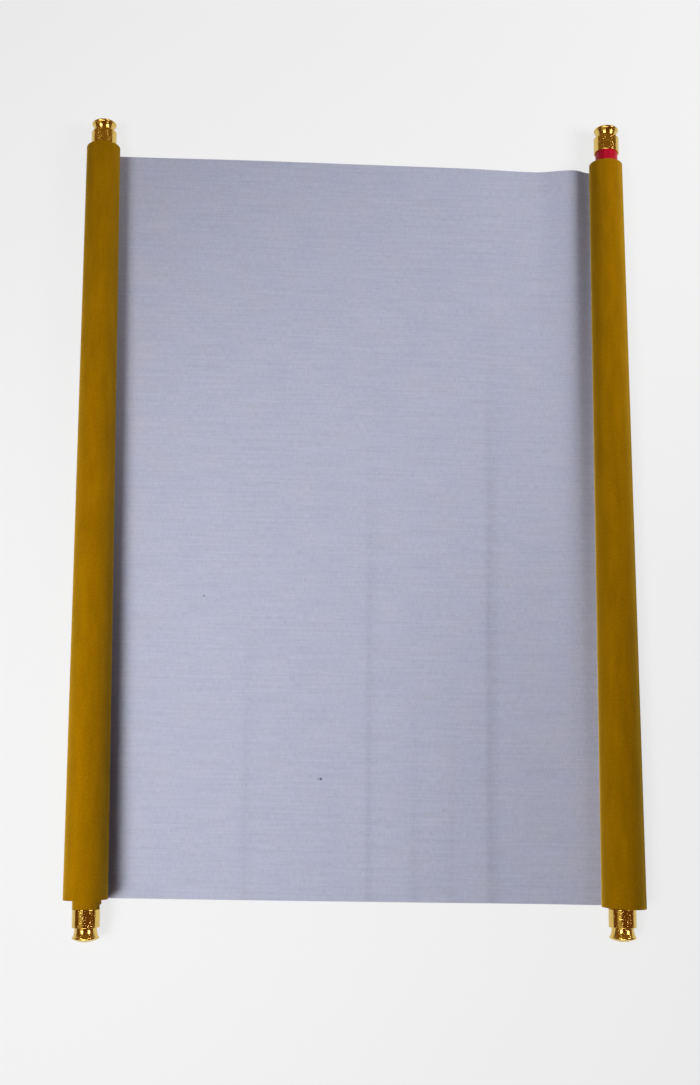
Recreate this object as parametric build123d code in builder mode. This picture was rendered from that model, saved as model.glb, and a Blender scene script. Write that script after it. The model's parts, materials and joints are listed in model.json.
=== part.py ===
"""Open paper scroll lying on a table: a two-layer sheet wound round two rods with four push-on finials.

Frame: X across the sheet, Y along the rods towards the far end, Z up. The origin is on the table,
under the middle of the overall box. All sizes are in millimetres.
"""

import math
import os

from build123d import *

# Sheet: the velvet backing lies outside, the face sheet is pasted on its inner side
edge_length_left = 484.6
right_trim = 7.1  # the right edge is cut shorter by this much
backing_thickness = 0.4
paste_line = 0.02
face_thickness = 0.2

# Rolls: the spacing is measured between the lines where the flat sheet starts to curl up
roll_spacing = 327.4  # half way along the rolls
roll_splay = 15.6  # the far ends lie this much further apart than the near ends
roll_stagger = 7.6  # the right roll lies this much nearer than the left one
turns = 4
turn_gap = 0.3  # air between two turns where the roll is tight
near_spring = 2.3  # the outermost turn has sprung open by this much at the near end

# Collars: how far the innermost turn has slipped out past the others at three ends of the rolls
left_near_collar = 5.3
right_near_collar = 0.8
right_far_collar = 1.4

# Swell: the sheet rises from the table before it dives under the right roll
swell_height_near = 0.6
swell_height_far = 4.0
swell_rise = 26.0
swell_fall = 11.0
swell_foot = 9.5  # from the foot of the swell to the line where the sheet curls up

# Rods
rod_diameter = 14.5
rod_edge = 0.6
rod_wrap_clearance = 0.1
rod_exposed_right = 7.1  # bare rod between the collar of the right roll and its far finial

# Finials
finial_wall = 0.95
finial_fit_clearance = 0.05
finial_seat_gap = 0.3
sleeve_length = 10.6
socket_end_wall = 1.5  # from the bottom of the socket to the sleeve's shoulder
socket_end_room = 0.6  # air past the end of the rod
neck_diameter = 13.2
neck_length = 0.6
flare_length = 4.4
rim_diameter = 16.0
rim_thickness = 1.6
rim_edge = 0.5
dome_rise = 1.9
mouth_edge = 0.3
shoulder_edge = 0.4

# Derived sizes of a roll
up = Vector(0, 0, 1)
sheet_thickness = backing_thickness + paste_line + face_thickness
pitch = sheet_thickness + turn_gap
half_turns = 2 * turns
rod_radius = rod_diameter / 2
last_radius = rod_radius + rod_wrap_clearance + sheet_thickness
tight_radius = last_radius + (half_turns - 1) * pitch / 2
rod_height = tight_radius + pitch / 2
swell_run = swell_rise + swell_fall + swell_foot

# Derived sizes of a finial
socket_radius = rod_radius + finial_fit_clearance
sleeve_radius = socket_radius + finial_wall
neck_radius = neck_diameter / 2
rim_radius = rim_diameter / 2
lip_radius = rim_radius - rim_edge
socket_depth = sleeve_length - socket_end_wall
finial_grip = socket_depth - socket_end_room
flare_start = sleeve_length + neck_length
rim_start = flare_start + flare_length
dome_start = rim_start + rim_thickness
finial_length = dome_start + dome_rise

# Places of the four finial mouths, measured outwards from the ends of the rolls
left_near_seat = left_near_collar + finial_seat_gap
left_far_seat = finial_seat_gap
right_near_seat = right_near_collar + finial_seat_gap
right_far_seat = right_far_collar + rod_exposed_right

# Places of the sheet's corners along Y, with the overall box centred on the origin
edge_length_right = edge_length_left - right_trim
left_near_end = -edge_length_left / 2
left_far_end = edge_length_left / 2
right_near_end = -edge_length_right / 2 - roll_stagger
right_far_end = edge_length_right / 2 - roll_stagger
near_tip = min(left_near_end - left_near_seat, right_near_end - right_near_seat) - finial_length
far_tip = max(left_far_end + left_far_seat, right_far_end + right_far_seat) + finial_length
middle = (near_tip + far_tip) / 2


class Roll:
    """Where one roll lies: side is -1 on the left and +1 on the right."""

    def __init__(self, side, near_end, far_end):
        self.near_foot = Vector(side * (roll_spacing - roll_splay / 2) / 2, near_end - middle, 0)
        self.far_foot = Vector(side * (roll_spacing + roll_splay / 2) / 2, far_end - middle, 0)
        self.length = (self.far_foot - self.near_foot).length
        self.along = (self.far_foot - self.near_foot).normalized()
        self.outward = self.along.cross(up) * side
        self.near_section = Plane(self.near_foot, x_dir=self.outward, z_dir=self.outward.cross(up))
        self.far_section = Plane(self.far_foot, x_dir=self.outward, z_dir=self.outward.cross(up))

    def on_axis(self, distance):
        """Point on the rod's axis, at a distance from the near end of the roll."""
        return self.near_foot + up * rod_height + self.along * distance


left_roll = Roll(-1, left_near_end, left_far_end)
right_roll = Roll(1, right_near_end, right_far_end)


def half_turn_arc(index, depth, spring):
    """Half a turn of the spiral, counted inwards; even ones climb on the outer side, odd ones come down.

    Depth is measured from the velvet side of the sheet, and spring opens the outermost turn.
    """
    slack = spring if index < 2 else 0
    centre_height = tight_radius + slack + (index % 2) * pitch / 2
    radius = tight_radius + slack - index * pitch / 2 - depth
    start_angle = 90 if index % 2 else -90
    CenterArc((0, centre_height), radius, start_angle, 180)


def swell_arcs(depth, height):
    """Four tangent arcs that lift the sheet off the table and bring it down to the foot of the roll."""
    rise_angle = 2 * math.atan2(height, swell_rise)
    rise_radius = swell_rise / (2 * math.sin(rise_angle))
    fall_angle = 2 * math.atan2(height, swell_fall)
    fall_radius = swell_fall / (2 * math.sin(fall_angle))
    rise_turn = math.degrees(rise_angle)
    fall_turn = math.degrees(fall_angle)
    crest = -swell_foot - swell_fall
    CenterArc((-swell_run, rise_radius), rise_radius - depth, -90, rise_turn)
    CenterArc((crest, height - rise_radius), rise_radius + depth, 90, rise_turn)
    CenterArc((crest, height - fall_radius), fall_radius + depth, 90, -fall_turn)
    CenterArc((-swell_foot, fall_radius), fall_radius - depth, -90, -fall_turn)
    Line((-swell_foot, depth), (0, depth))


def strip_outline(depth, thickness, first, spring, swell_height):
    """Outline of one layer through a roll, from its start on the table or in the roll to its inner end."""
    for face_depth in (depth, depth + thickness):
        if swell_height:
            swell_arcs(face_depth, swell_height)
        for index in range(first, half_turns):
            half_turn_arc(index, face_depth, spring)
    start = -swell_run if swell_height else 0
    start_height = first * pitch / 2 + depth
    end_height = half_turns * pitch / 2 + depth
    Line((start, start_height), (start, start_height + thickness))
    Line((0, end_height), (0, end_height + thickness))


def layer(depth, thickness):
    """One layer of the sheet: its flat part, both rolls and their collars."""
    flat_near = right_roll.near_foot - right_roll.outward * swell_run
    flat_far = right_roll.far_foot - right_roll.outward * swell_run
    with BuildPart() as sheet:
        with BuildSketch(Plane.XY.offset(depth)):
            with BuildLine():
                Polyline(left_roll.near_foot, flat_near, flat_far, left_roll.far_foot, close=True)
            make_face()
        extrude(amount=thickness)
        for roll, swell_near, swell_far in (
            (left_roll, 0, 0),
            (right_roll, swell_height_near, swell_height_far),
        ):
            with BuildSketch(roll.near_section):
                with BuildLine():
                    strip_outline(depth, thickness, 0, near_spring, swell_near)
                make_face()
            with BuildSketch(roll.far_section):
                with BuildLine():
                    strip_outline(depth, thickness, 0, 0, swell_far)
                make_face()
            loft(ruled=True)
        for section, outwards, length in (
            (left_roll.near_section, -left_roll.along, left_near_collar),
            (right_roll.near_section, -right_roll.along, right_near_collar),
            (right_roll.far_section, right_roll.along, right_far_collar),
        ):
            with BuildSketch(section):
                with BuildLine():
                    strip_outline(depth, thickness, half_turns - 2, 0, 0)
                make_face()
            extrude(amount=length, dir=outwards)
    return sheet


def rod(roll, near_seat, far_seat):
    """Round rod with eased ends, reaching into a finial at each end of its roll."""
    near_end = -near_seat - finial_grip
    far_end = roll.length + far_seat + finial_grip
    with BuildPart() as dowel:
        with BuildSketch(Plane(roll.on_axis(near_end), x_dir=roll.outward, z_dir=roll.along)):
            Circle(rod_radius)
        extrude(amount=far_end - near_end)
        chamfer(dowel.edges().filter_by(GeomType.CIRCLE), length=rod_edge)
    return dowel


def finial(mouth, outwards, across):
    """Turned end cap: a plain sleeve, a groove, a bell-shaped flare and a low dome on its end."""
    with BuildPart() as cap:
        with BuildSketch(Plane(mouth, x_dir=across, z_dir=across.cross(outwards))):
            with BuildLine():
                Polyline(
                    (0, socket_depth),
                    (socket_radius, socket_depth),
                    (socket_radius, mouth_edge),
                    (socket_radius + mouth_edge, 0),
                    (sleeve_radius, 0),
                    (sleeve_radius, sleeve_length - shoulder_edge),
                    (sleeve_radius - shoulder_edge, sleeve_length),
                    (neck_radius, sleeve_length),
                    (neck_radius, flare_start),
                )
                TangentArc((neck_radius, flare_start), (lip_radius, rim_start), tangent=(0, 1))
                Polyline(
                    (lip_radius, rim_start),
                    (rim_radius, rim_start + rim_edge),
                    (rim_radius, dome_start - rim_edge),
                    (lip_radius, dome_start),
                )
                TangentArc((0, finial_length), (lip_radius, dome_start), tangent=(1, 0))
                Line((0, finial_length), (0, socket_depth))
            make_face()
        revolve(axis=Axis(mouth, outwards))
    return cap


os.makedirs("parts", exist_ok=True)

velvet_backing = layer(0, backing_thickness)
velvet_backing.part.label = "velvet_backing"
export_step(velvet_backing.part, "parts/velvet_backing.step")

face_sheet = layer(backing_thickness + paste_line, face_thickness)
face_sheet.part.label = "face_sheet"
export_step(face_sheet.part, "parts/face_sheet.step")

for name, roll, near_seat, far_seat in (
    ("left", left_roll, left_near_seat, left_far_seat),
    ("right", right_roll, right_near_seat, right_far_seat),
):
    dowel = rod(roll, near_seat, far_seat)
    dowel.part.label = f"{name}_rod"
    export_step(dowel.part, f"parts/{name}_rod.step")

    near_cap = finial(roll.on_axis(-near_seat), -roll.along, roll.outward)
    near_cap.part.label = f"{name}_near_finial"
    export_step(near_cap.part, f"parts/{name}_near_finial.step")

    far_cap = finial(roll.on_axis(roll.length + far_seat), roll.along, roll.outward)
    far_cap.part.label = f"{name}_far_finial"
    export_step(far_cap.part, f"parts/{name}_far_finial.step")
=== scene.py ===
"""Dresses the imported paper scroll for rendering: the sheet with its rolls, the rods, the finials, the stage.

Sizes are in metres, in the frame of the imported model: X across the sheet, Y along the rods, Z up.
"""

import json
import math

import bmesh
import bpy
from bpy.props import FloatProperty, FloatVectorProperty, IntProperty, PointerProperty
from mathutils import Matrix, Vector


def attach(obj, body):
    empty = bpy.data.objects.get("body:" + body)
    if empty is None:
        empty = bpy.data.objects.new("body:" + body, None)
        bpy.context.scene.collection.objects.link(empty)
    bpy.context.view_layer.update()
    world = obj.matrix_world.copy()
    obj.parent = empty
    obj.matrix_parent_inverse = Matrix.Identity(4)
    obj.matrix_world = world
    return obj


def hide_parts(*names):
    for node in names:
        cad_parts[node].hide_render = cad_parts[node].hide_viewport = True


bl_info = {
    "name": "Paper Scroll",
    "version": (1, 0, 0),
    "blender": (4, 5, 0),
    "location": "View3D > Sidebar > Scroll",
    "description": "Builds an open paper scroll with velvet rolls, red rods and gold finials",
    "category": "Object",
}

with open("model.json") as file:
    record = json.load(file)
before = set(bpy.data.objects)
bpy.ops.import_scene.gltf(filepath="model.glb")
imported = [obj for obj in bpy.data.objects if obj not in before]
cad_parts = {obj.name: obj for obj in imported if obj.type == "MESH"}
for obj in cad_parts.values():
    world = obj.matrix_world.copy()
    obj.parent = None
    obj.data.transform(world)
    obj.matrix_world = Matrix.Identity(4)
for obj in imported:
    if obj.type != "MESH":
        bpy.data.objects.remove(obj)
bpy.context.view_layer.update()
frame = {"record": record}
mounts = {mount["name"]: mount for mount in frame["record"]["mounts"]}

MM = 0.001
UP = Vector((0, 0, 1))

# Mesh detail: rows along the sheet, segments round a turned piece, and corners that stay crisp in shading
sheet_rows = 81
rod_segments = 96
finial_segments = 128
sheet_corner = math.radians(60)
turned_corner = math.radians(35)

# Floor: half its width, how far it lies under the sheet to stay clear of it, and how even it looks
floor_reach = 4.0
floor_drop = 0.05 * MM
floor_evenness = 0.85

# Soft boxes: place, target, width and height in metres, and spread of the beam in degrees
key_box = (-0.605, -0.42, 1.0), (-0.175, -0.18, 0.0), 0.7, 0.75, 40
fill_box = (0.66, 0.07, 0.58), (0.16, 0.8, 0.0), 0.3, 0.3, 114

film_height = 36  # mm


def linear(hex_colour):
    """Linear RGB of an sRGB colour written as #RRGGBB."""
    channels = (int(hex_colour[i : i + 2], 16) / 255 for i in (1, 3, 5))
    return tuple(c / 12.92 if c <= 0.04045 else ((c + 0.055) / 1.055) ** 2.4 for c in channels)


def length(name, description, millimetres):
    """Property for a length, with its default written in millimetres."""
    return FloatProperty(
        name=name, description=description, default=millimetres * MM, unit="LENGTH", precision=5)


def angle(name, description, degrees):
    """Property for an angle, with its default written in degrees."""
    return FloatProperty(name=name, description=description, default=math.radians(degrees), subtype="ANGLE")


def colour(name, description, hex_colour):
    """Property for a colour, with its default written as #RRGGBB."""
    return FloatVectorProperty(
        name=name, description=description, default=linear(hex_colour), subtype="COLOR", min=0, max=1)


class ScrollSheetSettings(bpy.types.PropertyGroup):
    """Sizes and colours of the two-layer sheet and its rolls."""

    backing_thickness: length("Backing thickness", "Velvet backing with its pile", 0.4)
    paste_line: length("Paste line", "Paste between the backing and the face", 0.02)
    face_thickness: length("Face thickness", "Paper of the written face", 0.2)
    turns: IntProperty(name="Turns", description="Turns of the sheet round each rod", default=4, min=2)
    turn_gap: length("Turn gap", "Air between two turns where a roll is tight", 0.3)
    near_spring: length("Near spring", "How far the outermost turn has sprung open at the near end", 2.3)
    seat_gap: length("Seat gap", "From a roll's innermost turn to the mouth of its finial", 0.3)
    left_near_collar: length("Left near collar", "How far the inner turns stand out on the left", 5.3)
    left_near_recess: length("Left near recess", "How far the middle turns hang back in the outer one", 1.5)
    right_near_collar: length("Right near collar", "How far the inner turns stand out on the right", 0.8)
    right_far_collar: length("Right far collar", "How far the inner turns stand out at the far end", 1.4)
    right_near_slip: length("Right near slip", "How far the outer turn has slipped out, near", 0.7)
    right_near_skew: length("Right near skew", "How far the outer turn's inner side hangs back", 0.7)
    right_askew_near: length("Right askew, near", "How far the near end lies outwards of its rod", 0.5)
    right_askew_far: length("Right askew, far", "How far the far end lies inwards of its rod", 1.0)
    bare_rod: length("Bare rod", "Red rod that shows at the far end of the right roll", 7.1)
    swell_height_near: length("Swell height, near", "Rise of the sheet beside the right roll", 0.6)
    swell_height_far: length("Swell height, far", "Rise of the sheet beside the right roll", 4.0)
    swell_rise: length("Swell rise", "Width over which the sheet lifts", 26)
    swell_fall: length("Swell fall", "Width over which the sheet comes down again", 11)
    swell_foot: length("Swell foot", "Flat strip between the swell and the roll", 9.5)
    arch_height: length("Arch height", "How far the open sheet stands off the table in the middle", 1.7)
    crease_width: length("Crease width", "Width of the steep side of a soft crease in the open sheet", 2.4)
    crease_depth: length("Crease depth", "Depth of the deepest crease", 0.75)
    crease_shade: FloatProperty(
        name="Crease shade", description="Share of light that the deepest crease takes away", default=0.1)
    # Threads of a fine cloth lie about 0.4 mm apart, and are drawn twice as coarse so that they show
    thread_spacing: length("Thread spacing", "Threads of the cloth that the paper was pressed on", 0.8)
    thread_relief: length("Thread relief", "Height of the cloth's print in the paper", 0.05)
    cloud_size: length("Cloud size", "Width of a greyer cloud in the paper", 18)
    # Single fibres of the pile are too fine to show, so the clumps that they lie in are drawn
    pile_tuft: length("Pile tuft", "Clump of velvet pile that catches the light as one", 1.3)
    pile_relief: length("Pile relief", "Height of a clump of pile", 0.1)
    nap_width: length("Nap width", "Width of a brushed streak in the pile", 6)
    nap_length: length("Nap length", "Length of a brushed streak in the pile", 30)
    paper_colour: colour("Paper", "Lavender-grey of the written face", "#ACB0C7")
    paper_cloud_colour: colour("Paper clouds", "Greyer clouds in the paper", "#B6B6C4")
    velvet_colour: colour("Velvet", "Mustard of the pile", "#936600")
    sheen_colour: colour("Velvet sheen", "Tips of the pile at grazing angles", "#FFD64F")


class ScrollFittingSettings(bpy.types.PropertyGroup):
    """Sizes and colours of the rods and finials."""

    rod_diameter: length("Rod diameter", "Round wooden rod", 14.5)
    rod_edge: length("Rod edge", "Eased edge at a rod's end", 0.6)
    socket_clearance: length("Socket clearance", "Room round the rod inside a finial", 0.05)
    socket_depth: length("Socket depth", "From a finial's mouth to the bottom of its socket", 9.1)
    socket_end_room: length("Socket end room", "Air past the rod's end", 0.6)
    sleeve_length: length("Sleeve length", "Plain part of a finial", 10.6)
    neck_diameter: length("Neck diameter", "Groove past the sleeve", 13.2)
    neck_length: length("Neck length", "Straight part of the groove", 0.6)
    flare_length: length("Flare length", "Bell between the groove and the rim", 4.4)
    rim_diameter: length("Rim diameter", "Widest part of the bell", 16.0)
    rim_thickness: length("Rim thickness", "Rounded rim", 1.6)
    rim_round: length("Rim round", "How far the rim bulges past the bell and the dome", 0.5)
    dome_rise: length("Dome rise", "Low dome on the end", 1.9)
    edge_round: length("Edge round", "Rounding of a finial's turned edges", 0.3)
    grain_width: length("Grain width", "Width of the wood's grain under the lacquer", 1.2)
    grain_length: length("Grain length", "Length of the wood's grain under the lacquer", 15)
    dent_size: length("Dent size", "Width of a shallow dent in the plate", 3.5)
    dent_depth: length("Dent depth", "Depth of a shallow dent", 0.1)
    pit_size: length("Pit size", "Width of a small pit in the plate", 1.1)
    pit_depth: length("Pit depth", "Depth of a small pit", 0.05)
    rub_size: length("Rub size", "Width of a spot where the plate is rubbed dull", 1.5)
    lacquer_colour: colour("Lacquer", "Red of the rods", "#B01028")
    gold_colour: colour("Gold", "Bright gold plate", "#DDBC62")


class ScrollStageSettings(bpy.types.PropertyGroup):
    """Floor, lamps and camera."""

    floor_colour: colour("Floor", "Plain pale floor", "#F2F2F2")
    wall_colour: colour("Walls", "Dim grey walls of the room that the lamps stand in", "#7D7B84")
    ceiling_colour: colour("Ceiling", "Unlit ceiling of the room", "#525158")
    mirrored_colour: colour("Mirrored room", "Brown of the near half of the room in the gold", "#704824")
    far_colour: colour("Far wall", "Lit wall past the far end of the scroll, in the gold", "#8A6A34")
    window_colour: colour("Window", "Tall curtained window at the left, in the gold", "#BDAB7E")
    lamp_colour: colour("Lamps", "Lamps of the room, in the gold", "#FFF6E8")
    lamp_glow: FloatProperty(
        name="Lamp glow", description="How much brighter than white paper they show", default=8.5)
    window_bearing: angle("Window bearing", "Lean of the window's middle from the upright", -36)
    window_width: angle("Window width", "Width of the window as an angle", 34)
    left_lamp_bearing: angle("Left lamp bearing", "Lean of one lamp from the upright", -27)
    right_lamp_bearing: angle("Right lamp bearing", "Lean of the other lamp from the upright", 45)
    lamp_width: angle("Lamp width", "Width of a lamp as an angle", 18)
    near_light_bearing: angle("Near light bearing", "Lean of a low light at the near side", -10)
    near_light_width: angle("Near light width", "Width of the low light as an angle", 46)
    key_power: FloatProperty(
        name="Key power", description="Soft box at the near left", default=1.82, unit="POWER")
    fill_power: FloatProperty(
        name="Fill power", description="Soft box at the far right", default=3.35, unit="POWER")
    lens: FloatProperty(
        name="Lens", description=f"Focal length on a frame {film_height} mm high",
        default=43.41, unit="CAMERA")
    camera_place: FloatVectorProperty(
        name="Camera place", description="Where the camera hangs over the scroll",
        default=(-0.0078, -0.1804, 0.8186), subtype="TRANSLATION", unit="LENGTH")
    camera_tilt: angle("Camera tilt", "Lean towards the far end", 11.072)
    camera_yaw: angle("Camera yaw", "Turn about the upright", -1.722)
    camera_roll: angle("Camera roll", "Turn about the line of sight", 1.853)


def ease(share):
    """Smooth step from 0 to 1 and its slope."""
    share = min(max(share, 0), 1)
    return share * share * (3 - 2 * share), 6 * share * (1 - share)


class RodLine:
    """Axis of one rod, from the sleeves of its two finials; side is -1 on the left and +1 on the right."""

    def __init__(self, side, name):
        near, far = (mounts[f"{name}_{end}_sleeve"] for end in ("near", "far"))
        self.near_mouth, self.far_mouth = (
            Vector(sleeve["pos_m"]) - Vector(sleeve["axis"]) * sleeve["dims"]["length_mm"] * MM / 2
            for sleeve in (near, far)
        )
        self.along = (self.far_mouth - self.near_mouth).normalized()
        self.outward = self.along.cross(UP) * side
        self.height = self.near_mouth.z
        self.sleeve_radius = near["dims"]["r_mm"] * MM


rod_lines = {"left": RodLine(-1, "left"), "right": RodLine(1, "right")}


class SheetShape:
    """Cross-sections of the sheet at its near and far edges, from the left roll's inner end to the right's.

    A station is a pair (part, place). In a roll, place counts half turns inwards from the table; even ones
    climb on the outer side and odd ones come down. On the table and over the swell it runs from 0 to 1.
    """

    # Mesh steps in a half turn of the outermost turn and of the others, on the table and over the swell
    outer_steps, inner_steps, table_steps, swell_steps = 18, 12, 250, 48

    # Arch of the open sheet, in shares of its width: where it is full on the left, where it ends on the
    # right, and how wide its right slope is at the near and far edges
    arch_rise, arch_end, arch_fall_near, arch_fall_far = 0.4, 0.985, 0.3, 0.15

    # Creases: place across the open sheet, strength, and the share of the length at which each has faded out
    creases = (
        (0.345, 0.35, 0.55),
        (0.62, 0.5, 0.75),
        (0.72, 0.4, 0.4),
        (0.805, 0.35, 0.4),
        (0.89, 1.0, 0.85),
    )
    crease_fade = 0.45  # share of the length over which a crease fades
    crease_back = 2.5  # a crease's right side is this many times as wide as its left one

    # Slips of the winding, in half turns. Those called outer count from the table, the others from the
    # inner end. A run is the stretch over which a slip comes about.
    outer_sprung = 2  # the outermost turn, which has sprung open
    outer_slip_run = 0.5
    outer_skew_place, outer_skew_reach = 1.5, 0.7
    cone_start, cone_run = 3.5, 1.8  # the left collar comes out as a cone
    recess_end, recess_run = 3, 0.5
    seat_start, seat_run = 2, 1
    inner_start, inner_run = 4, 3

    seat_share = 0.8  # the left roll's innermost turn takes up this share of the gap to its near finial

    def __init__(self, settings):
        self.settings = settings
        thickness = settings.backing_thickness + settings.paste_line + settings.face_thickness
        self.pitch = thickness + settings.turn_gap
        self.half_turns = 2 * settings.turns
        self.swell_run = settings.swell_rise + settings.swell_fall + settings.swell_foot
        seat_gap = settings.seat_gap
        seats = {
            "left": (settings.left_near_collar + seat_gap, seat_gap),
            "right": (settings.right_near_collar + seat_gap, settings.right_far_collar + settings.bare_rod),
        }
        self.feet = {}
        for name, line in rod_lines.items():
            near_seat, far_seat = seats[name]
            near = line.near_mouth + line.along * near_seat - UP * line.height
            far = line.far_mouth - line.along * far_seat - UP * line.height
            self.feet[name] = (near, far)
        self.tight_radius = rod_lines["left"].height - self.pitch / 2

    def stations(self):
        """Stations in order across the whole sheet, close together where it curves."""
        wound = []
        for index in range(self.half_turns):
            steps = self.outer_steps if index < self.outer_sprung else self.inner_steps
            wound += [index + step / steps for step in range(steps)]
        wound.append(self.half_turns)
        found = [("left", place) for place in reversed(wound[1:])]
        found += [("table", step / self.table_steps) for step in range(self.table_steps)]
        found += [("swell", step / self.swell_steps) for step in range(self.swell_steps)]
        return found + [("right", place) for place in wound]

    def roll_section(self, place, depth, spring):
        """Distance outwards and height of a point of a roll; depth is measured from the velvet side."""
        index = min(int(place), self.half_turns - 1)
        slack = spring if index < self.outer_sprung else 0
        centre = self.tight_radius + slack + (index % 2) * self.pitch / 2
        radius = self.tight_radius + slack - index * self.pitch / 2 - depth
        turned = math.pi * (place - 0.5)
        return radius * math.cos(turned), centre + radius * math.sin(turned)

    def swell_section(self, place, depth, height):
        """Distance outwards from the foot of the right roll, and height, over the swell beside it."""
        settings = self.settings
        run = place * self.swell_run
        if run < settings.swell_rise:
            lift, slope = ease(run / settings.swell_rise)
            slope *= height / settings.swell_rise
        else:
            lift, slope = ease(1 - min((run - settings.swell_rise) / settings.swell_fall, 1))
            slope *= -height / settings.swell_fall
        lean = math.atan(slope)
        return run - self.swell_run - depth * math.sin(lean), lift * height + depth * math.cos(lean)

    def edge_points(self, station, depth):
        """The two points where a station meets the near and far edges of the sheet."""
        part, place = station
        settings = self.settings
        if part == "table":
            feet = zip(self.feet["left"], self.swell_feet())
            return tuple(left.lerp(right, place) + UP * depth for left, right in feet)
        side = "left" if part == "left" else "right"
        line = rod_lines[side]
        ends = []
        for foot, spring, swell, askew in zip(
            self.feet[side],
            (settings.near_spring, 0),
            (settings.swell_height_near, settings.swell_height_far),
            (settings.right_askew_near, -settings.right_askew_far),
        ):
            if part == "swell":
                out, height = self.swell_section(place, depth, swell)
            else:
                out, height = self.roll_section(place, depth, spring)
            if part == "right":
                out += askew * ease(place / self.outer_slip_run)[0] * (1 - place / self.half_turns)
            ends.append(foot + line.outward * out + UP * height)
        near_slip, far_slip = self.slips(part, place)
        return ends[0] - line.along * near_slip, ends[1] + line.along * far_slip

    def lift(self, station, share):
        """Height of the open sheet off the table, at a share of its length from the near edge."""
        part, place = station
        if part != "table":
            return 0
        fall = self.arch_fall_near + (self.arch_fall_far - self.arch_fall_near) * share
        rising, _ = ease(place / self.arch_rise)
        falling, _ = ease((self.arch_end - place) / fall)
        arch = self.settings.arch_height * rising * falling
        if arch == 0:
            return 0
        # A crease gets shallower where the sheet nears the table, and never goes through it
        return arch * math.exp(-self.settings.crease_depth * self.crease(station, share) / arch)

    def crease(self, station, share):
        """Depth of the soft creases, from 0 to 1: each falls steeply from the left and rises slowly."""
        part, place = station
        if part != "table":
            return 0
        width = self.settings.crease_width / (self.feet["right"][0] - self.feet["left"][0]).length
        depth = 0
        for where, strength, faded in self.creases:
            offset = (place - where) / width
            if offset > 0:
                offset /= self.crease_back
            depth += strength * ease((faded - share) / self.crease_fade)[0] * math.exp(-offset * offset)
        return depth

    def swell_feet(self):
        """Where the swell starts, at the near and far edges."""
        return tuple(foot - rod_lines["right"].outward * self.swell_run for foot in self.feet["right"])

    def slips(self, part, place):
        """How far a turn has slipped out past the roll's own ends, at the near and far ends."""
        settings = self.settings
        left_to_go = self.half_turns - place
        if part == "left":
            cone = min(max((self.cone_start - left_to_go) / self.cone_run, 0), 1)
            hanging, _ = ease((place - self.outer_sprung) / self.recess_run)
            held, _ = ease((left_to_go - self.recess_end) / self.recess_run)
            seated, _ = ease((self.seat_start - left_to_go) / self.seat_run)
            seat = self.seat_share * settings.seat_gap * seated
            return cone * settings.left_near_collar + seat - hanging * held * settings.left_near_recess, 0
        if part == "right":
            inner, _ = ease((self.inner_start - left_to_go) / self.inner_run)
            skew, _ = ease(1 - abs(place - self.outer_skew_place) / self.outer_skew_reach)
            outer = settings.right_near_slip * ease(place / self.outer_slip_run)[0]
            near = outer + inner * (settings.right_near_collar - outer) - skew * settings.right_near_skew
            return near, inner * settings.right_far_collar
        return 0, 0


def add_object(name, mesh, material, slot, *nodes):
    """Puts a piece in the scene, riding on the scroll in place of its CAD nodes."""
    piece = bpy.data.objects.new(name, mesh)
    bpy.context.collection.objects.link(piece)
    mesh.materials.append(material)
    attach(piece, "root")
    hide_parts(*nodes)
    return piece


def add_node(tree, kind, inputs=None, **settings):
    """Adds a node, sets its properties, and sets or links its inputs."""
    node = tree.nodes.new(kind)
    for name, value in settings.items():
        setattr(node, name, value)
    for name, value in (inputs or {}).items():
        if isinstance(value, bpy.types.NodeSocket):
            tree.links.new(value, node.inputs[name])
        else:
            node.inputs[name].default_value = value
    return node


def new_material(name):
    """Empty node material, with its output node."""
    material = bpy.data.materials.new(name)
    material.use_nodes = True
    material.node_tree.nodes.clear()
    return material, material.node_tree, material.node_tree.nodes.new("ShaderNodeOutputMaterial")


# Dark specks in the paper: place across and along in mm, width in mm, and how much light each takes away
paper_specks = (
    (-95.1, -55.1, 1.3, 0.5),
    (-20.6, -168.7, 1.5, 0.85),
    (-21.8, -168.7, 1.0, 0.3),
    (-22.8, -168.7, 0.9, 0.2),
    (-43.6, -71.8, 1.7, 0.12),
    (-103.5, -191.2, 1.5, 0.12),
    (54.4, -187.5, 1.5, 0.18),
)


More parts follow.
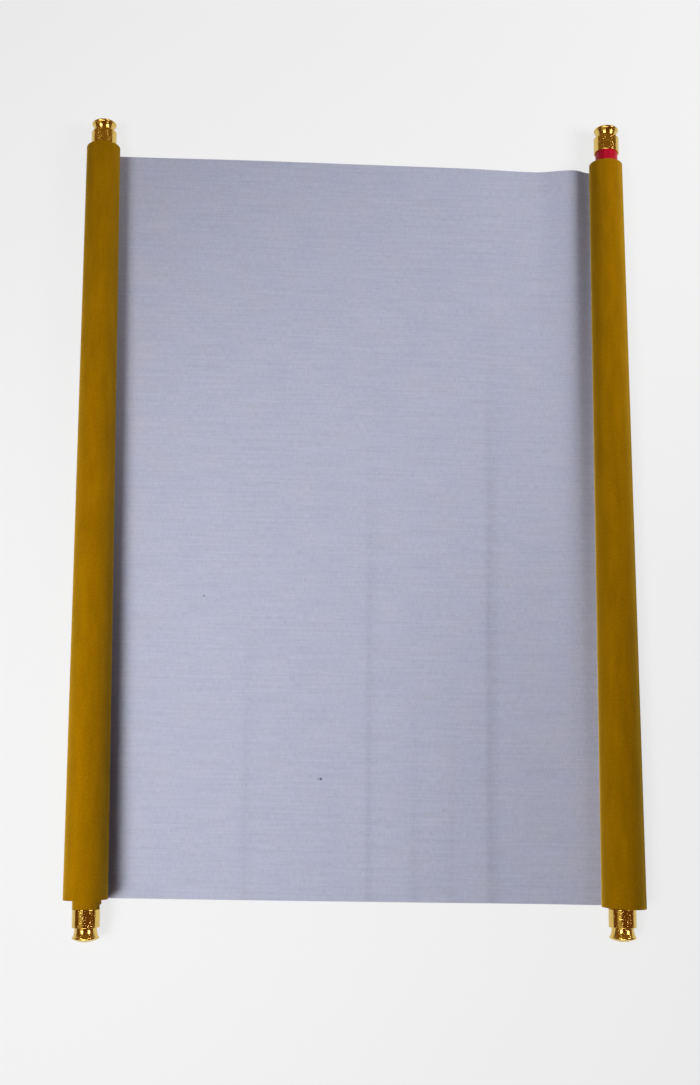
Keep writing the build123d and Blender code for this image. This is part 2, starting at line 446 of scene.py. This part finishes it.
def woven_paper(settings):
    """Rag paper pressed on linen: matt, with the threads as faint streaks both ways and a few specks."""
    material, tree, output = new_material("Linen-pressed rag paper")
    flat = add_node(tree, "ShaderNodeUVMap", uv_map="flat").outputs["UV"]
    thread = settings.thread_spacing
    streaks = []
    # Weft, warp and slubs: size of one streak across and along the sheet
    for across, along in ((5 * thread, thread), (thread, 6 * thread), (45 * thread, 2 * thread)):
        stretch = add_node(tree, "ShaderNodeMapping", {"Vector": flat, "Scale": (1 / across, 1 / along, 1)})
        threads = add_node(
            tree, "ShaderNodeTexNoise", {"Vector": stretch.outputs[0], "Scale": 1.0, "Detail": 2.0})
        streaks.append(threads.outputs["Fac"])
    weave = add_node(tree, "ShaderNodeMath", {0: streaks[0], 1: streaks[1]}, operation="ADD")
    woven = add_node(tree, "ShaderNodeMath", {0: weave.outputs[0], 1: streaks[2]}, operation="ADD")
    tone = add_node(tree, "ShaderNodeMapRange", {
        "Value": woven.outputs[0], "From Min": 1.0, "From Max": 2.0, "To Min": 0.88, "To Max": 1.12})
    # Painted shade: the paper's colour is darkened along the creases, by up to crease_shade where a crease is
    # deepest
    fold = add_node(tree, "ShaderNodeAttribute", attribute_name="fold").outputs["Fac"]
    wear_and_painted_shade = add_node(tree, "ShaderNodeMath", {
        0: fold, 1: -settings.crease_shade, 2: tone.outputs[0]}, operation="MULTIPLY_ADD")
    cloud = add_node(
        tree, "ShaderNodeTexNoise", {"Vector": flat, "Scale": 1 / settings.cloud_size, "Detail": 3.0})
    tint = add_node(tree, "ShaderNodeMix", {
        "Factor": cloud.outputs["Fac"],
        "A": (*settings.paper_colour, 1),
        "B": (*settings.paper_cloud_colour, 1),
    }, data_type="RGBA")
    place = add_node(tree, "ShaderNodeTexCoord").outputs["Object"]
    level = add_node(tree, "ShaderNodeVectorMath", {0: place, 1: (1, 1, 0)}, operation="MULTIPLY").outputs[0]
    shade = wear_and_painted_shade.outputs[0]
    for x, y, wide, dark in paper_specks:
        middle = (x * MM, y * MM, 0)
        reach = add_node(tree, "ShaderNodeVectorMath", {0: level, 1: middle}, operation="DISTANCE")
        # A speck fades out between 0.3 and 0.7 of its width from its middle
        speck = add_node(tree, "ShaderNodeMapRange", {
            "Value": reach.outputs["Value"], "From Min": 0.3 * wide * MM, "From Max": 0.7 * wide * MM,
            "To Min": 1 - dark, "To Max": 1.0})
        spotted = add_node(tree, "ShaderNodeMath", {0: shade, 1: speck.outputs[0]}, operation="MULTIPLY")
        shade = spotted.outputs[0]
    paper = add_node(
        tree, "ShaderNodeVectorMath", {0: tint.outputs["Result"], "Scale": shade}, operation="SCALE")
    relief = add_node(tree, "ShaderNodeBump", {
        "Height": weave.outputs[0], "Strength": 0.4, "Distance": settings.thread_relief})
    shader = add_node(tree, "ShaderNodeBsdfPrincipled", {
        "Base Color": paper.outputs[0], "Roughness": 0.9, "Specular IOR Level": 0.2,
        "Normal": relief.outputs[0]})
    tree.links.new(shader.outputs[0], output.inputs["Surface"])
    return material


def cotton_velvet(settings):
    """Flocked cotton velvet: a short upright pile, dark where seen end on and pale at grazing angles."""
    material, tree, output = new_material("Cotton velvet")
    flat = add_node(tree, "ShaderNodeUVMap", uv_map="flat").outputs["UV"]
    tufts = add_node(
        tree, "ShaderNodeTexNoise", {"Vector": flat, "Scale": 1 / settings.pile_tuft, "Detail": 3.0})
    brushed = add_node(tree, "ShaderNodeMapping", {
        "Vector": flat, "Scale": (1 / settings.nap_width, 1 / settings.nap_length, 1)})
    nap = add_node(tree, "ShaderNodeTexNoise", {"Vector": brushed.outputs[0], "Scale": 1.0, "Detail": 3.0})
    pile = add_node(
        tree, "ShaderNodeMath", {0: tufts.outputs["Fac"], 1: nap.outputs["Fac"]}, operation="ADD")
    tone = add_node(tree, "ShaderNodeMapRange", {
        "Value": pile.outputs[0], "From Min": 0.6, "From Max": 1.4, "To Min": 0.76, "To Max": 1.24})
    dye = add_node(tree, "ShaderNodeVectorMath", {
        0: settings.velvet_colour, "Scale": tone.outputs[0]}, operation="SCALE")
    relief = add_node(tree, "ShaderNodeBump", {
        "Height": tufts.outputs["Fac"], "Strength": 0.5, "Distance": settings.pile_relief})
    shader = add_node(tree, "ShaderNodeBsdfPrincipled", {
        "Base Color": dye.outputs[0], "Roughness": 1.0, "Specular IOR Level": 0.0, "Sheen Weight": 1.0,
        "Sheen Roughness": 0.47, "Sheen Tint": (*settings.sheen_colour, 1), "Normal": relief.outputs[0]})
    tree.links.new(shader.outputs[0], output.inputs["Surface"])
    return material


def red_lacquer(settings):
    """Nitrocellulose lacquer on a wooden dowel: a saturated red with a soft gloss over a faint grain."""
    material, tree, output = new_material("Red lacquered wood")
    place = add_node(tree, "ShaderNodeTexCoord").outputs["Object"]
    across, along = 1 / settings.grain_width, 1 / settings.grain_length
    stretch = add_node(tree, "ShaderNodeMapping", {"Vector": place, "Scale": (across, along, across)})
    grain = add_node(tree, "ShaderNodeTexNoise", {"Vector": stretch.outputs[0], "Scale": 1.0, "Detail": 4.0})
    tone = add_node(tree, "ShaderNodeMapRange", {
        "Value": grain.outputs["Fac"], "From Min": 0.3, "From Max": 0.7, "To Min": 0.8, "To Max": 1.15})
    stain = add_node(tree, "ShaderNodeVectorMath", {
        0: settings.lacquer_colour, "Scale": tone.outputs[0]}, operation="SCALE")
    shader = add_node(tree, "ShaderNodeBsdfPrincipled", {
        "Base Color": stain.outputs[0], "Roughness": 0.4, "Specular IOR Level": 0.15, "Coat Weight": 0.1,
        "Coat Roughness": 0.12})
    tree.links.new(shader.outputs[0], output.inputs["Surface"])
    return material


def gold_plate(settings):
    """Bright gold plate on moulded plastic: a mirror, broken by shallow dents, pits and rubbed spots."""
    material, tree, output = new_material("Gold plate")
    place = add_node(tree, "ShaderNodeTexCoord").outputs["Object"]
    dents = add_node(
        tree, "ShaderNodeTexNoise", {"Vector": place, "Scale": 1 / settings.dent_size, "Detail": 2.0})
    wear_and_painted_shade = add_node(tree, "ShaderNodeBump", {
        "Height": dents.outputs["Fac"], "Strength": 0.25, "Distance": settings.dent_depth})
    dings = add_node(
        tree, "ShaderNodeTexNoise", {"Vector": place, "Scale": 1 / settings.pit_size, "Detail": 1.0})
    pits = add_node(
        tree, "ShaderNodeMapRange", {"Value": dings.outputs["Fac"], "From Min": 0.6, "From Max": 0.72})
    relief = add_node(tree, "ShaderNodeBump", {
        "Height": pits.outputs[0], "Strength": 1.0, "Distance": settings.pit_depth,
        "Normal": wear_and_painted_shade.outputs[0]}, invert=True)
    rub = add_node(
        tree, "ShaderNodeTexNoise", {"Vector": place, "Scale": 1 / settings.rub_size, "Detail": 4.0})
    dull = add_node(tree, "ShaderNodeMapRange", {
        "Value": rub.outputs["Fac"], "From Min": 0.4, "From Max": 0.75, "To Min": 0.06, "To Max": 0.25})
    shader = add_node(tree, "ShaderNodeBsdfPrincipled", {
        "Base Color": (*settings.gold_colour, 1), "Metallic": 1.0, "Roughness": dull.outputs[0],
        "Normal": relief.outputs[0]})
    tree.links.new(shader.outputs[0], output.inputs["Surface"])
    return material


def pale_floor(settings):
    """Matt seamless paper. What the camera and the gold see of it is evened out, with a soft shadow left."""
    material, tree, output = new_material("Seamless background paper")
    path = add_node(tree, "ShaderNodeLightPath").outputs
    seen = add_node(
        tree, "ShaderNodeMath", {0: path["Is Camera Ray"], 1: path["Is Glossy Ray"]}, operation="MAXIMUM")
    share = add_node(tree, "ShaderNodeMath", {0: seen.outputs[0], 1: floor_evenness}, operation="MULTIPLY")
    paper = add_node(tree, "ShaderNodeBsdfDiffuse", {"Color": (*settings.floor_colour, 1)})
    glow = add_node(tree, "ShaderNodeEmission", {"Color": (*settings.floor_colour, 1)})
    mixed = add_node(
        tree, "ShaderNodeMixShader", {0: share.outputs[0], 1: paper.outputs[0], 2: glow.outputs[0]})
    tree.links.new(mixed.outputs[0], output.inputs["Surface"])
    return material


def room(settings):
    """Dim grey room that lights the stage.

    The gold mirrors a browner one with a window and lamps, and the camera sees a plain pale backdrop.
    """
    world = bpy.data.worlds.new("Room")
    world.use_nodes = True
    tree = world.node_tree
    tree.nodes.clear()
    direction = add_node(tree, "ShaderNodeTexCoord").outputs["Generated"]
    axes = add_node(tree, "ShaderNodeSeparateXYZ", {0: direction}).outputs
    fade = add_node(tree, "ShaderNodeMapRange", {"Value": axes["Z"], "From Min": 0.1, "From Max": 0.7})
    paint = add_node(tree, "ShaderNodeMix", {
        "Factor": fade.outputs[0],
        "A": (*settings.wall_colour, 1),
        "B": (*settings.ceiling_colour, 1),
    }, data_type="RGBA")
    depth = add_node(tree, "ShaderNodeMapRange", {"Value": axes["Y"], "From Min": 0.15, "From Max": 0.55})
    walls = add_node(tree, "ShaderNodeMix", {
        "Factor": depth.outputs[0],
        "A": (*settings.mirrored_colour, 1),
        "B": (*settings.far_colour, 1),
    }, data_type="RGBA")
    bearing = add_node(tree, "ShaderNodeMath", {0: axes["X"], 1: axes["Z"]}, operation="ARCTAN2")
    lamp = tuple(channel * settings.lamp_glow for channel in settings.lamp_colour)
    shown = walls.outputs["Result"]
    end_fade = 0.04
    # Bright patches: lean from the upright and width as angles, low and high end along the rods, and light
    for lean, width, low, high, glow in (
        (settings.window_bearing, settings.window_width, -0.9, 0.08, settings.window_colour),
        (settings.near_light_bearing, settings.near_light_width, -0.95, -0.7, lamp),
        (settings.left_lamp_bearing, settings.lamp_width, 0.04, 0.3, lamp),
        (settings.right_lamp_bearing, settings.lamp_width, 0.06, 0.32, lamp),
    ):
        aside = add_node(tree, "ShaderNodeMath", {0: bearing.outputs[0], 1: lean}, operation="SUBTRACT")
        off = add_node(tree, "ShaderNodeMath", {0: aside.outputs[0]}, operation="ABSOLUTE")
        # The sides fade between 0.4 and 0.6 of the width from the middle
        pane = add_node(tree, "ShaderNodeMapRange", {
            "Value": off.outputs[0], "From Min": 0.6 * width, "From Max": 0.4 * width})
        middle = add_node(tree, "ShaderNodeMath", {0: axes["Y"], 1: (low + high) / 2}, operation="SUBTRACT")
        reach = add_node(tree, "ShaderNodeMath", {0: middle.outputs[0]}, operation="ABSOLUTE")
        half = (high - low) / 2
        tall = add_node(tree, "ShaderNodeMapRange", {
            "Value": reach.outputs[0], "From Min": half + end_fade, "From Max": half - end_fade})
        patch = add_node(
            tree, "ShaderNodeMath", {0: pane.outputs[0], 1: tall.outputs[0]}, operation="MULTIPLY")
        lit = add_node(tree, "ShaderNodeMix", {
            "Factor": patch.outputs[0],
            "A": shown,
            "B": (*glow, 1),
        }, data_type="RGBA")
        shown = lit.outputs["Result"]
    path = add_node(tree, "ShaderNodeLightPath").outputs
    seen = add_node(tree, "ShaderNodeMix", {
        "Factor": path["Is Glossy Ray"],
        "A": paint.outputs["Result"],
        "B": shown,
    }, data_type="RGBA")
    plain = add_node(tree, "ShaderNodeMix", {
        "Factor": path["Is Camera Ray"],
        "A": seen.outputs["Result"],
        "B": (*settings.floor_colour, 1),
    }, data_type="RGBA")
    light = add_node(tree, "ShaderNodeBackground", {"Color": plain.outputs["Result"]})
    add_node(tree, "ShaderNodeOutputWorld", {"Surface": light.outputs[0]})
    return world


def sheet_mesh(name, shape, depth, thickness):
    """Closed mesh of one layer of the sheet, with its place on the flat sheet as UVs in metres."""
    stations = shape.stations()
    shares = [row / (sheet_rows - 1) for row in range(sheet_rows)]
    mesh = bmesh.new()
    flat = mesh.loops.layers.uv.new("flat")
    fold = mesh.verts.layers.float.new("fold")
    sides = []
    for level in (depth, depth + thickness):
        side = []
        for station in stations:
            near, far = shape.edge_points(station, level)
            column = []
            for share in shares:
                vert = mesh.verts.new(near.lerp(far, share) + UP * shape.lift(station, share))
                vert[fold] = shape.crease(station, share)
                column.append(vert)
            side.append(column)
        sides.append(side)
    across = [0.0]
    middle = sheet_rows // 2
    for first, second in zip(sides[0], sides[0][1:]):
        across.append(across[-1] + (second[middle].co - first[middle].co).length)
    along = [(vert.co - sides[0][0][0].co).length for vert in sides[0][0]]
    spots = {}
    for side in sides:
        for column, reach in zip(side, across):
            for vert, distance in zip(column, along):
                spots[vert] = (reach, distance)
    outer, inner = sides
    last = len(stations) - 1
    for i in range(last):
        for j in range(sheet_rows - 1):
            mesh.faces.new((outer[i][j], outer[i][j + 1], outer[i + 1][j + 1], outer[i + 1][j]))
            mesh.faces.new((inner[i][j], inner[i + 1][j], inner[i + 1][j + 1], inner[i][j + 1]))
        mesh.faces.new((outer[i][0], outer[i + 1][0], inner[i + 1][0], inner[i][0]))
        mesh.faces.new((outer[i][-1], inner[i][-1], inner[i + 1][-1], outer[i + 1][-1]))
    for j in range(sheet_rows - 1):
        mesh.faces.new((outer[0][j], inner[0][j], inner[0][j + 1], outer[0][j + 1]))
        mesh.faces.new((outer[last][j], outer[last][j + 1], inner[last][j + 1], inner[last][j]))
    for face in mesh.faces:
        face.smooth = True
        for loop in face.loops:
            loop[flat].uv = spots[loop.vert]
    data = bpy.data.meshes.new(name)
    mesh.to_mesh(data)
    mesh.free()
    data.set_sharp_from_angle(angle=sheet_corner)
    return data, (along[-1], across[-1])


def turned_mesh(name, profile, base, axis, across, segments):
    """Mesh of a turned piece; its profile lists (distance along the axis, radius), from axis to axis."""
    mesh = bmesh.new()
    other = axis.cross(across)
    rings = []
    for distance, radius in profile:
        centre = base + axis * distance
        if radius == 0:
            rings.append([mesh.verts.new(centre)])
            continue
        angles = (2 * math.pi * k / segments for k in range(segments))
        spokes = (across * math.cos(a) + other * math.sin(a) for a in angles)
        rings.append([mesh.verts.new(centre + spoke * radius) for spoke in spokes])
    for first, second in zip(rings, rings[1:]):
        for k in range(segments):
            corners = (
                first[k % len(first)],
                first[(k + 1) % len(first)],
                second[(k + 1) % len(second)],
                second[k % len(second)],
            )
            mesh.faces.new(dict.fromkeys(corners))  # beside a point on the axis two corners are one
    bmesh.ops.recalc_face_normals(mesh, faces=mesh.faces)
    for face in mesh.faces:
        face.smooth = True
    data = bpy.data.meshes.new(name)
    mesh.to_mesh(data)
    mesh.free()
    data.set_sharp_from_angle(angle=turned_corner)
    return data


def arc_angles(first, last, count):
    """Evenly spaced angles in radians, from degrees."""
    return [math.radians(first + (last - first) * k / (count - 1)) for k in range(count)]


def finial_profile(settings, sleeve_radius):
    """Profile of a finial from the bottom of its socket, over mouth and bell, to the tip of its dome."""
    edge_points, bead_points, flare_steps, dome_steps = 5, 13, 12, 12
    depth, end = settings.socket_depth, settings.sleeve_length
    socket = settings.rod_diameter / 2 + settings.socket_clearance
    neck, rim, edge = settings.neck_diameter / 2, settings.rim_diameter / 2, settings.edge_round
    flare = end + settings.neck_length
    bead = flare + settings.flare_length
    dome = bead + settings.rim_thickness
    rounding = [
        (edge * (1 - math.cos(a)), sleeve_radius - edge * (1 - math.sin(a)))
        for a in arc_angles(0, 90, edge_points)
    ]
    profile = [(depth, 0), (depth, socket), (edge, socket), (0, socket + edge), *rounding]
    # Two points near its ends keep the plain part straight in its mirror images
    profile += [(2 * edge, sleeve_radius), (end - 2 * edge, sleeve_radius)]
    profile += [(end - distance, radius) for distance, radius in reversed(rounding)]
    profile += [(end, neck)]
    lip = rim - settings.rim_round
    for step in range(flare_steps + 1):
        share = step / flare_steps
        profile.append((flare + settings.flare_length * share, neck + (lip - neck) * share * share))
    half = settings.rim_thickness / 2
    # The bead stands a little proud of the bell and of the dome
    profile += [
        (bead + half - half * math.cos(a), lip + settings.rim_round * math.sin(a))
        for a in arc_angles(15, 165, bead_points)
    ]
    rise = settings.dome_rise
    dome_radius = (lip * lip + rise * rise) / (2 * rise)
    for step in range(1, dome_steps + 1):
        radius = lip * (1 - step / dome_steps)
        profile.append((dome + rise - dome_radius + math.sqrt(dome_radius**2 - radius**2), radius))
    return profile


class SCROLL_OT_velvet_backing(bpy.types.Operator):
    """Builds the velvet backing, which is the outside of both rolls."""

    bl_idname = "scroll.velvet_backing"
    bl_label = "Velvet Backing"

    def execute(self, context):
        settings = context.scene.scroll_sheet
        mesh, flat_size = sheet_mesh("velvet", SheetShape(settings), 0, settings.backing_thickness)
        backing = add_object("velvet", mesh, cotton_velvet(settings), "velvet", "velvet_backing")
        return {"FINISHED"}


class SCROLL_OT_face_sheet(bpy.types.Operator):
    """Builds the written face, pasted on the inner side of the velvet."""

    bl_idname = "scroll.face_sheet"
    bl_label = "Face Sheet"

    def execute(self, context):
        settings = context.scene.scroll_sheet
        depth = settings.backing_thickness + settings.paste_line
        mesh, flat_size = sheet_mesh("face", SheetShape(settings), depth, settings.face_thickness)
        face = add_object("face", mesh, woven_paper(settings), "face_paper", "face_sheet")
        return {"FINISHED"}


class SCROLL_OT_rods(bpy.types.Operator):
    """Builds the two rods that the sheet is wound on."""

    bl_idname = "scroll.rods"
    bl_label = "Rods"

    def execute(self, context):
        settings = context.scene.scroll_fittings
        material = red_lacquer(settings)
        radius, edge = settings.rod_diameter / 2, settings.rod_edge
        grip = settings.socket_depth - settings.socket_end_room
        for name, line in rod_lines.items():
            reach = (line.far_mouth - line.near_mouth).length + grip
            profile = [
                (-grip, 0), (-grip, radius - edge), (-grip + edge, radius),
                (reach - edge, radius), (reach, radius - edge), (reach, 0),
            ]
            piece = f"{name}_dowel"
            mesh = turned_mesh(piece, profile, line.near_mouth, line.along, line.outward, rod_segments)
            add_object(piece, mesh, material, "red_lacquer", f"{name}_rod")
        return {"FINISHED"}


class SCROLL_OT_finials(bpy.types.Operator):
    """Builds the four finials on the ends of the rods."""

    bl_idname = "scroll.finials"
    bl_label = "Finials"

    def execute(self, context):
        settings = context.scene.scroll_fittings
        material = gold_plate(settings)
        for name, line in rod_lines.items():
            profile = finial_profile(settings, line.sleeve_radius)
            ends = (("near", line.near_mouth, -line.along), ("far", line.far_mouth, line.along))
            for end, mouth, axis in ends:
                piece = f"{name}_{end}_cap"
                mesh = turned_mesh(piece, profile, mouth, axis, line.outward, finial_segments)
                add_object(piece, mesh, material, "gold_plate", f"{name}_{end}_finial")
        return {"FINISHED"}


class SCROLL_OT_stage(bpy.types.Operator):
    """Builds the floor, the soft boxes, the dim room and the camera."""

    bl_idname = "scroll.stage"
    bl_label = "Stage"

    def execute(self, context):
        settings = context.scene.scroll_stage
        mesh = bpy.data.meshes.new("floor")
        corners = [(x * floor_reach, y * floor_reach, 0) for x, y in ((-1, -1), (1, -1), (1, 1), (-1, 1))]
        mesh.from_pydata(corners, [], [(0, 1, 2, 3)])
        mesh.materials.append(pale_floor(settings))
        floor = bpy.data.objects.new("floor", mesh)
        floor.location.z = -floor_drop
        context.collection.objects.link(floor)
        self.soft_box(context, "Key soft box", settings.key_power, *key_box)
        self.soft_box(context, "Fill soft box", settings.fill_power, *fill_box)
        context.scene.world = room(settings)
        camera = bpy.data.cameras.new("Camera")
        camera.sensor_fit = "VERTICAL"
        camera.sensor_height = film_height
        camera.lens = settings.lens
        holder = bpy.data.objects.new("Camera", camera)
        holder.matrix_world = (
            Matrix.Translation(settings.camera_place)
            @ Matrix.Rotation(settings.camera_yaw, 4, "Z")
            @ Matrix.Rotation(settings.camera_tilt, 4, "X")
            @ Matrix.Rotation(settings.camera_roll, 4, "Z")
        )
        context.collection.objects.link(holder)
        context.scene.camera = holder
        context.scene.view_settings.view_transform = "Standard"
        return {"FINISHED"}

    def soft_box(self, context, name, power, place, target, width, height, spread):
        """Lamp at a place, facing a target; spread in degrees narrows its beam like a grid."""
        lamp = bpy.data.lights.new(name, "AREA")
        lamp.shape = "RECTANGLE"
        lamp.energy = power
        lamp.size = width
        lamp.size_y = height
        lamp.spread = math.radians(spread)
        holder = bpy.data.objects.new(name, lamp)
        holder.location = place
        holder.visible_glossy = False  # the gold mirrors the room's own lamps
        holder.rotation_euler = (Vector(target) - Vector(place)).to_track_quat("-Z", "Y").to_euler()
        context.collection.objects.link(holder)


class SCROLL_PT_panel(bpy.types.Panel):
    """Sidebar panel with the scroll's pieces and settings."""

    bl_idname = "SCROLL_PT_panel"
    bl_label = "Paper Scroll"
    bl_space_type = "VIEW_3D"
    bl_region_type = "UI"
    bl_category = "Scroll"

    def draw(self, context):
        for operator in operators:
            self.layout.operator(operator.bl_idname)
        for group in setting_groups:
            settings = getattr(context.scene, group)
            column = self.layout.column()
            for name in settings.__annotations__:
                column.prop(settings, name)


setting_groups = {
    "scroll_sheet": ScrollSheetSettings,
    "scroll_fittings": ScrollFittingSettings,
    "scroll_stage": ScrollStageSettings,
}
operators = (
    SCROLL_OT_velvet_backing,
    SCROLL_OT_face_sheet,
    SCROLL_OT_rods,
    SCROLL_OT_finials,
    SCROLL_OT_stage,
)


def register():
    for group in setting_groups.values():
        bpy.utils.register_class(group)
    for name, group in setting_groups.items():
        setattr(bpy.types.Scene, name, PointerProperty(type=group))
    for operator in operators:
        bpy.utils.register_class(operator)
    bpy.utils.register_class(SCROLL_PT_panel)


def unregister():
    bpy.utils.unregister_class(SCROLL_PT_panel)
    for operator in reversed(operators):
        bpy.utils.unregister_class(operator)
    for name, group in setting_groups.items():
        delattr(bpy.types.Scene, name)
        bpy.utils.unregister_class(group)


def main():
    register()
    bpy.ops.scroll.velvet_backing()
    bpy.ops.scroll.face_sheet()
    bpy.ops.scroll.rods()
    bpy.ops.scroll.finials()
    bpy.ops.scroll.stage()


if __name__ == "__main__":
    main()
